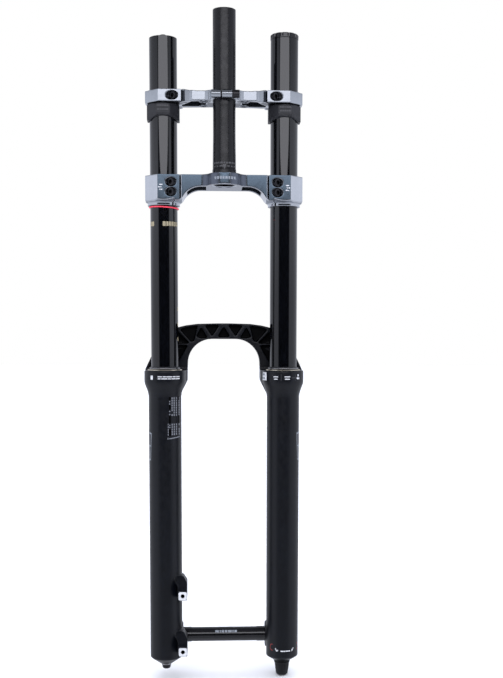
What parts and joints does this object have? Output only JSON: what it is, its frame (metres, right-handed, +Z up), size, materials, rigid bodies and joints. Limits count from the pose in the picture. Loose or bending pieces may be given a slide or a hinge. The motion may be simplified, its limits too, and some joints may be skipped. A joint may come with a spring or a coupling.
{
  "type": "dual-crown bicycle suspension fork",
  "caption": "Long-travel dual-crown bicycle suspension fork: straight steerer, slotted crowns, black stanchions, cast lower legs with a ribbed arch and a through axle.",
  "frame": {"origin": "centre of the crown race seat, on the steerer axis at the top face of the lower crown", "axes": "+Z up along the steerer, +Y forward (towards the wheel axle's offset), +X to the rider's right"},
  "size_m": [0.208, 0.0931, 0.854],
  "materials": {
    "steerer": "matte black anodised",
    "lower_crown": "satin grey-blue anodised",
    "upper_crown": "polished silver",
    "stanchion": "gloss black hard anodised",
    "lowers": "satin black paint on a cast light alloy",
    "bolt": "black oxide",
    "steel": "bright",
    "rubber": "matte",
    "red_rubber": "satin",
    "black_alloy": "satin black anodised",
    "silver_alloy": "machined",
    "gold_alloy": "champagne",
    "plastic_red": "moulded",
    "plastic_black": "moulded",
    "bearing_liner": "coated",
    "foam": "open foam"
  },
  "bodies": {
    "crowns": {"steerer_tube": "steerer", "lower_crown": "lower_crown", "upper_crown": "upper_crown", "stanchion_left": "stanchion", "stanchion_right": "stanchion", "lower_crown_pinch_bolts": "bolt", "upper_crown_pinch_bolts": "bolt", "steerer_pinch_bolt": "bolt", "bumper_left": "rubber", "bumper_right": "rubber", "sag_o_ring": "red_rubber", "air_top_cap": "black_alloy", "air_cap_seal": "rubber", "air_valve_core": "gold_alloy", "volume_spacers": "plastic_red", "air_seal_head": "plastic_black", "air_head_seal": "rubber", "seal_head_clip": "steel", "damper_top_cap": "black_alloy", "damper_cap_seal": "rubber", "damper_tube": "silver_alloy", "compression_piston": "gold_alloy", "damper_bladder": "rubber", "damper_seal_head": "black_alloy"},
    "lowers": {"lower_legs": "lowers", "wiper_seal_left": "rubber", "wiper_seal_right": "rubber", "seal_rings": "gold_alloy", "wiper_springs": "steel", "foam_rings": "foam", "upper_bushings": "bearing_liner", "lower_bushings": "bearing_liner", "crush_washers": "steel", "air_shaft": "silver_alloy", "air_piston": "plastic_black", "air_piston_seal": "rubber", "air_topout_bumper": "rubber", "bottom_out_bumper": "rubber", "air_foot_nut": "black_alloy", "damper_shaft": "silver_alloy", "rebound_piston": "gold_alloy", "piston_glide_ring": "bearing_liner", "damper_topout_bumper": "rubber", "damper_foot_bolt": "black_alloy"},
    "axle": {"thru_axle": "black_alloy", "axle_wedge": "steel", "axle_wedge_bolt": "bolt"},
    "rebound_adjuster": {"rebound_knob": "black_alloy", "rebound_rod": "silver_alloy", "knob_screw": "steel"},
    "compression_adjuster": {"compression_dial": "black_alloy", "dial_screw": "steel", "compression_needle": "silver_alloy"},
    "valve_cap": {"air_valve_cap": "plastic_black"}
  },
  "joints": [
    {"name": "fork_travel", "type": "slide", "parent": "crowns", "child": "lowers", "axis": [0, 0, 1], "range_m": [0, 0.2], "stiffness_N_per_m": 6000, "springref_m": -0.02},
    {"name": "axle_withdraw", "type": "slide", "parent": "lowers", "child": "axle", "axis": [1, 0, 0], "range_m": [0, 0.19]},
    {"name": "rebound_turn", "type": "hinge", "parent": "lowers", "child": "rebound_adjuster", "pos_m": [0.077, 0.026, -0.645], "axis": [0, 0, 1], "range_deg": [0, 540]},
    {"name": "compression_turn", "type": "hinge", "parent": "crowns", "child": "compression_adjuster", "pos_m": [0.077, 0.026, 0.175], "axis": [0, 0, 1], "range_deg": [0, 270]},
    {"name": "valve_cap_lift", "type": "slide", "parent": "crowns", "child": "valve_cap", "axis": [0, 0, 1], "range_m": [0, 0.03]}
  ]
}
